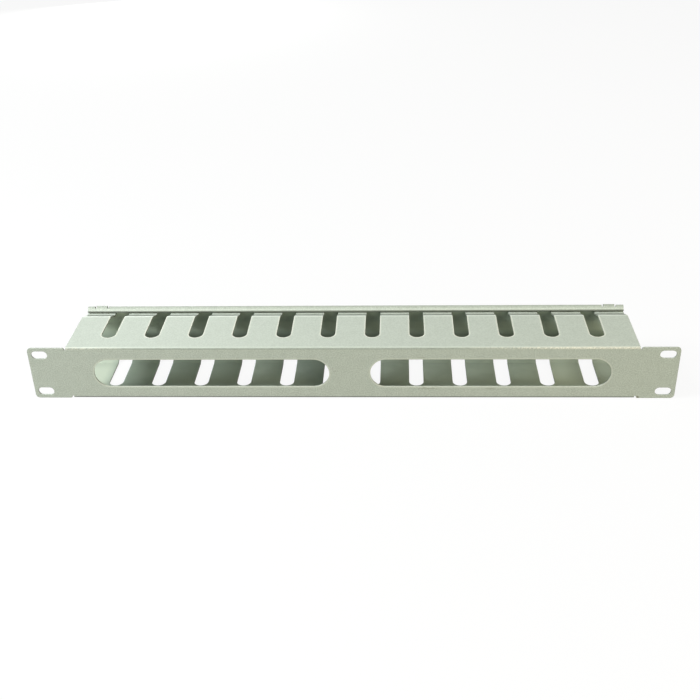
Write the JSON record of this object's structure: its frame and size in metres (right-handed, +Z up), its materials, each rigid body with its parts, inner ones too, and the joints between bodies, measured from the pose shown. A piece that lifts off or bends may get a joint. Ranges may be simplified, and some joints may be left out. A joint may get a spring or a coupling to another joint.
{
  "type": "horizontal cable manager",
  "caption": "Folded sheet-metal cable duct for a 19-inch rack: ears, two long openings in the panel, slotted finger walls and a hook-on cover.",
  "frame": {"origin": "middle of the four ear slots, on the panel face that bolts to the rack rails", "axes": "+X along the panel from rail to rail, +Y from the rails towards the cover, +Z up in the rack"},
  "size_m": [0.4826, 0.068, 0.0444],
  "materials": {
    "channel_paint": "fine-textured powder coat",
    "cover_paint": "fine-textured powder coat"
  },
  "bodies": {
    "channel": {"finger_channel": "channel_paint"},
    "cover": {"cover": "cover_paint"}
  },
  "joints": [
    {"name": "cover_slide", "type": "slide", "parent": "channel", "child": "cover", "axis": [1, 0, 0], "range_m": [-0.424, 0.424]}
  ]
}
